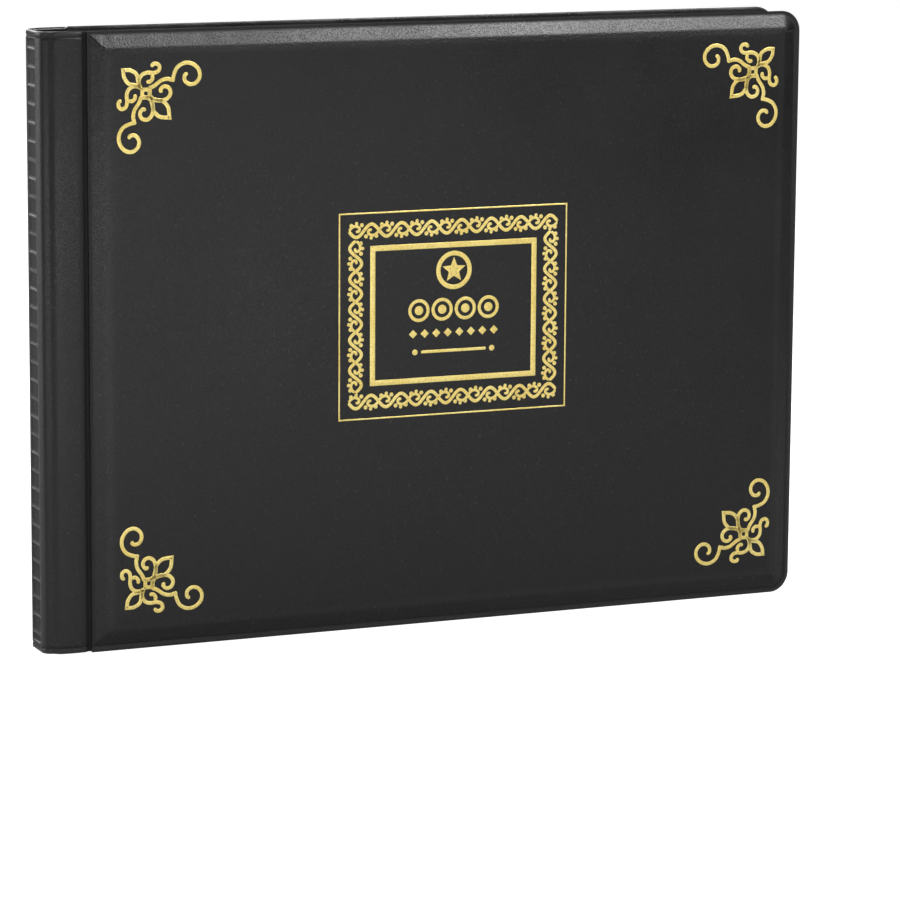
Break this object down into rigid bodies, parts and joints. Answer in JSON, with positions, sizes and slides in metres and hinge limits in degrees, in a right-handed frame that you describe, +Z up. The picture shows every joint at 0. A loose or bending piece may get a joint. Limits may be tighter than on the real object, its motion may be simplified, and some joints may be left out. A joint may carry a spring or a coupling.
{
  "type": "coin album",
  "caption": "Padded vinyl album that holds coins in clear pockets on hinged double-faced leaves, shown closed and standing on its lower edge.",
  "frame": {"origin": "middle of the footprint, at the lower edge the closed album stands on", "axes": "+X from the spine to the fore edge, -Y to the front cover, +Z up along the spine"},
  "size_m": [0.1944, 0.0172, 0.145],
  "materials": {
    "cover_vinyl": "fine-grained black vinyl, soft sheen",
    "lining_vinyl": "smooth black vinyl, half gloss",
    "page_vinyl": "black PVC sheet",
    "foam": "open-cell foam sheet",
    "greyboard": "grey bookbinder's board",
    "card": "thin stiffening card",
    "gold_foil": "hot-stamped pale gold foil",
    "clear_film": "clear soft PVC film",
    "smoky_film": "smoky translucent PVC film",
    "frosted_weld": "frosted heat-weld seam",
    "pale_gold_coin": "pale gold, half bright",
    "deep_gold_coin": "deep gold, half bright"
  },
  "bodies": {
    "back_cover": {"back_cover_skin": "cover_vinyl", "back_cover_liner": "lining_vinyl", "back_foam_pad": "foam", "back_board": "greyboard", "back_hinge_skin": "cover_vinyl", "back_hinge_card": "card", "back_hinge_liner": "lining_vinyl"},
    "spine": {"spine_skin": "cover_vinyl", "spine_stiffener": "card", "spine_liner": "lining_vinyl", "binding_ribs": "page_vinyl"},
    "front_strip": {"front_hinge_skin": "cover_vinyl", "front_hinge_card": "card", "front_hinge_liner": "lining_vinyl"},
    "front_cover": {"front_cover_skin": "cover_vinyl", "front_cover_liner": "lining_vinyl", "front_foam_pad": "foam", "front_board": "greyboard", "gold_corner_scrolls": "gold_foil", "gold_border_frame": "gold_foil", "gold_emblem": "gold_foil"},
    "leaf_1": {"leaf_1_backing": "page_vinyl", "leaf_1_front_film": "clear_film", "leaf_1_front_flaps": "smoky_film", "leaf_1_back_film": "clear_film", "leaf_1_back_flaps": "smoky_film"},
    "leaf_2": {"leaf_2_backing": "page_vinyl", "leaf_2_front_film": "clear_film", "leaf_2_front_flaps": "smoky_film", "leaf_2_back_film": "clear_film", "leaf_2_back_flaps": "smoky_film"},
    "leaf_3": {"leaf_3_backing": "page_vinyl", "leaf_3_front_film": "clear_film", "leaf_3_front_flaps": "smoky_film", "leaf_3_back_film": "clear_film", "leaf_3_back_flaps": "smoky_film", "leaf_3_pocket_welds": "frosted_weld", "small_coins_row_1": "deep_gold_coin", "small_coins_row_2": "pale_gold_coin", "small_coins_row_3": "deep_gold_coin", "small_coins_row_4": "pale_gold_coin"},
    "leaf_4": {"leaf_4_backing": "page_vinyl", "leaf_4_front_film": "clear_film", "leaf_4_front_flaps": "smoky_film", "leaf_4_back_film": "clear_film", "leaf_4_back_flaps": "smoky_film", "leaf_4_pocket_welds": "frosted_weld", "large_coins_row_1": "deep_gold_coin", "large_coins_row_2": "deep_gold_coin", "large_coins_row_3": "deep_gold_coin"},
    "leaf_5": {"leaf_5_backing": "page_vinyl", "leaf_5_front_film": "clear_film", "leaf_5_front_flaps": "smoky_film", "leaf_5_back_film": "clear_film", "leaf_5_back_flaps": "smoky_film"}
  },
  "joints": [
    {"name": "spine_hinge", "type": "hinge", "parent": "back_cover", "child": "spine", "pos_m": [-0.09725, 0.0049, 0.0725], "axis": [0, 0, -1], "range_deg": [0, 90]},
    {"name": "front_strip_hinge", "type": "hinge", "parent": "spine", "child": "front_strip", "pos_m": [-0.09725, -0.0049, 0.0725], "axis": [0, 0, -1], "range_deg": [0, 90]},
    {"name": "front_panel_fold", "type": "hinge", "parent": "front_strip", "child": "front_cover", "pos_m": [-0.08625, -0.00855, 0.0725], "axis": [0, 0, -1], "range_deg": [0, 175]},
    {"name": "leaf_1_hinge", "type": "hinge", "parent": "spine", "child": "leaf_1", "pos_m": [-0.09435, -0.0029, 0.0735], "axis": [0, 0, -1], "range_deg": [0, 90]},
    {"name": "leaf_2_hinge", "type": "hinge", "parent": "spine", "child": "leaf_2", "pos_m": [-0.09345, -0.002, 0.0735], "axis": [0, 0, -1], "range_deg": [0, 90]},
    {"name": "leaf_3_hinge", "type": "hinge", "parent": "spine", "child": "leaf_3", "pos_m": [-0.09255, -0.0011, 0.0735], "axis": [0, 0, -1], "range_deg": [0, 90]},
    {"name": "leaf_4_hinge", "type": "hinge", "parent": "spine", "child": "leaf_4", "pos_m": [-0.09345, 0.002, 0.0735], "axis": [0, 0, 1], "range_deg": [0, 90]},
    {"name": "leaf_5_hinge", "type": "hinge", "parent": "spine", "child": "leaf_5", "pos_m": [-0.09435, 0.0029, 0.0735], "axis": [0, 0, 1], "range_deg": [0, 90]}
  ],
  "couplings": [
    {"joint": "leaf_1_hinge", "follows": "front_strip_hinge", "ratio": 1},
    {"joint": "leaf_2_hinge", "follows": "front_strip_hinge", "ratio": 1},
    {"joint": "leaf_3_hinge", "follows": "front_strip_hinge", "ratio": 1},
    {"joint": "leaf_4_hinge", "follows": "spine_hinge", "ratio": 1},
    {"joint": "leaf_5_hinge", "follows": "spine_hinge", "ratio": 1}
  ]
}
